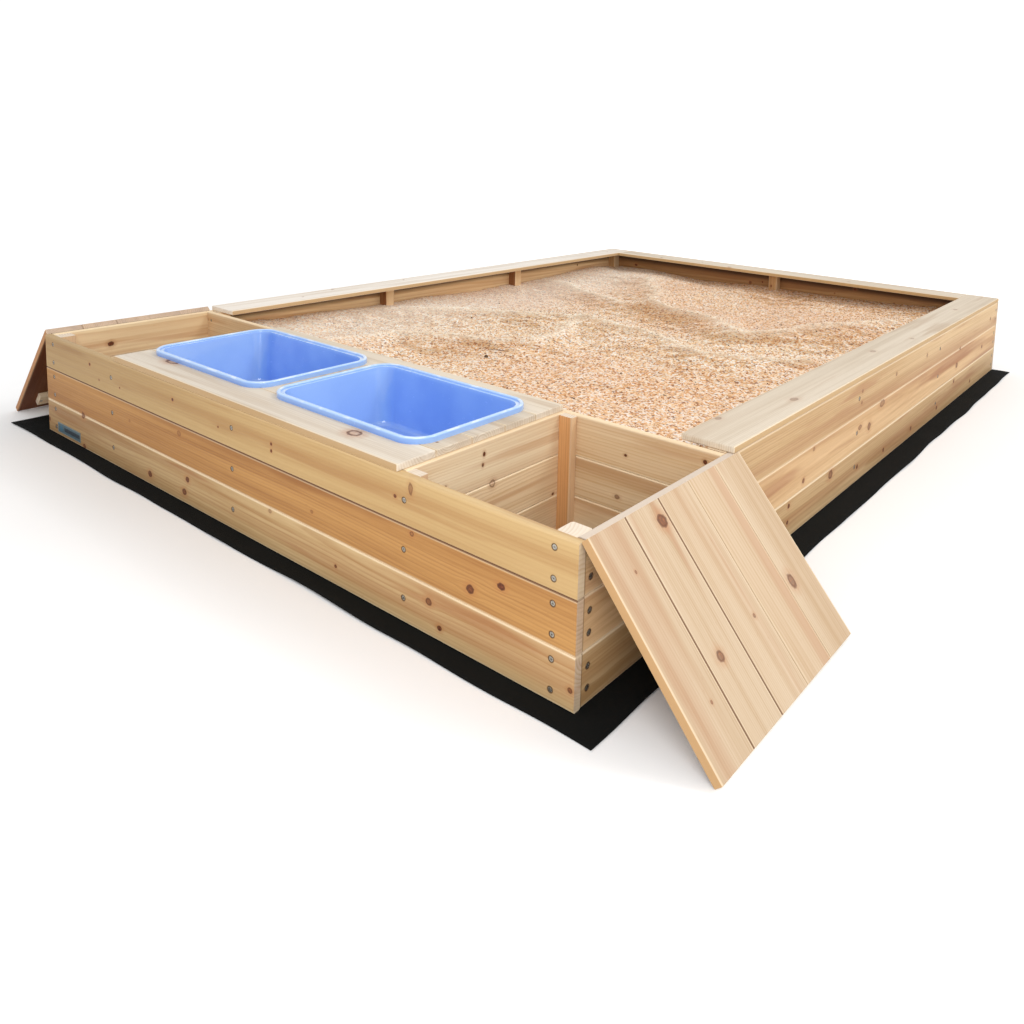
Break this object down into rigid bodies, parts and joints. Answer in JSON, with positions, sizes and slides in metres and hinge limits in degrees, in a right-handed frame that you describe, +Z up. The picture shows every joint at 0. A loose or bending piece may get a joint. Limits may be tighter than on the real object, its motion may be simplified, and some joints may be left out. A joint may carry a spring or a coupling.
{
  "type": "sand and water table",
  "caption": "Low boarded play frame with a sand pit and seat boards, a front bay with lift-out water tubs in a deck, lidded toy bins at its ends and a ground mat.",
  "frame": {"origin": "under the middle of the whole object, on the ground", "axes": "+Z up; +Y from the front bay with the tubs to the back of the sand pit; +X to the right for someone who stands in front of the bay and faces it"},
  "size_m": [2.3398, 2.725, 0.299],
  "materials": {
    "wall_wood": "planed cedar, clear",
    "seat_wood": "planed cedar, pale and dry",
    "lid_wood": "planed cedar, pale",
    "inner_wood": "planed cedar, bare",
    "tub_plastic": "gloss blue",
    "mat_fabric": "woven, matt black",
    "label_face": "matt dark print",
    "sand": "loose coarse grains",
    "screw_steel": "plated"
  },
  "bodies": {
    "root": {"back_board_1": "wall_wood", "back_board_2": "wall_wood", "back_board_3": "wall_wood", "back_post": "inner_wood", "bin_cleats": "inner_wood", "corner_post_back_left": "inner_wood", "corner_post_back_right": "inner_wood", "corner_post_front_left": "inner_wood", "corner_post_front_right": "inner_wood", "deck_battens": "inner_wood", "deck_board_1": "seat_wood", "deck_board_2": "seat_wood", "deck_board_3": "seat_wood", "deck_board_4": "seat_wood", "deck_board_5": "seat_wood", "deck_supports": "inner_wood", "divider_board_1": "inner_wood", "divider_board_2": "inner_wood", "divider_board_3": "inner_wood", "frame_screws": "screw_steel", "front_board_1": "wall_wood", "front_board_2": "wall_wood", "front_board_3": "wall_wood", "ground_mat": "mat_fabric", "label_plate": "label_face", "left_board_1": "wall_wood", "left_board_2": "wall_wood", "left_board_3": "wall_wood", "left_partition_board_1": "inner_wood", "left_partition_board_2": "inner_wood", "left_partition_board_3": "inner_wood", "pit_posts": "inner_wood", "right_board_1": "wall_wood", "right_board_2": "wall_wood", "right_board_3": "wall_wood", "right_partition_board_1": "inner_wood", "right_partition_board_2": "inner_wood", "right_partition_board_3": "inner_wood", "sand_fill": "sand", "seat_back": "seat_wood", "seat_left": "seat_wood", "seat_right": "seat_wood"},
    "lid_left": {"lid_left_battens": "lid_wood", "lid_left_board_1": "lid_wood", "lid_left_board_2": "lid_wood", "lid_left_board_3": "lid_wood", "lid_left_board_4": "lid_wood", "lid_left_board_5": "lid_wood", "lid_left_screws": "screw_steel"},
    "lid_right": {"lid_right_battens": "lid_wood", "lid_right_board_1": "lid_wood", "lid_right_board_2": "lid_wood", "lid_right_board_3": "lid_wood", "lid_right_board_4": "lid_wood", "lid_right_board_5": "lid_wood", "lid_right_screws": "screw_steel"},
    "tub_left": {"tub_left": "tub_plastic"},
    "tub_right": {"tub_right": "tub_plastic"}
  },
  "joints": [
    {"name": "lid_left_lift", "type": "slide", "parent": "root", "child": "lid_left", "axis": [0, 0, 1], "range_m": [0, 0.4]},
    {"name": "lid_right_lift", "type": "slide", "parent": "root", "child": "lid_right", "axis": [0, 0, 1], "range_m": [0, 0.4]},
    {"name": "tub_left_lift", "type": "slide", "parent": "root", "child": "tub_left", "axis": [0, 0, 1], "range_m": [0, 0.25]},
    {"name": "tub_right_lift", "type": "slide", "parent": "root", "child": "tub_right", "axis": [0, 0, 1], "range_m": [0, 0.25]}
  ]
}
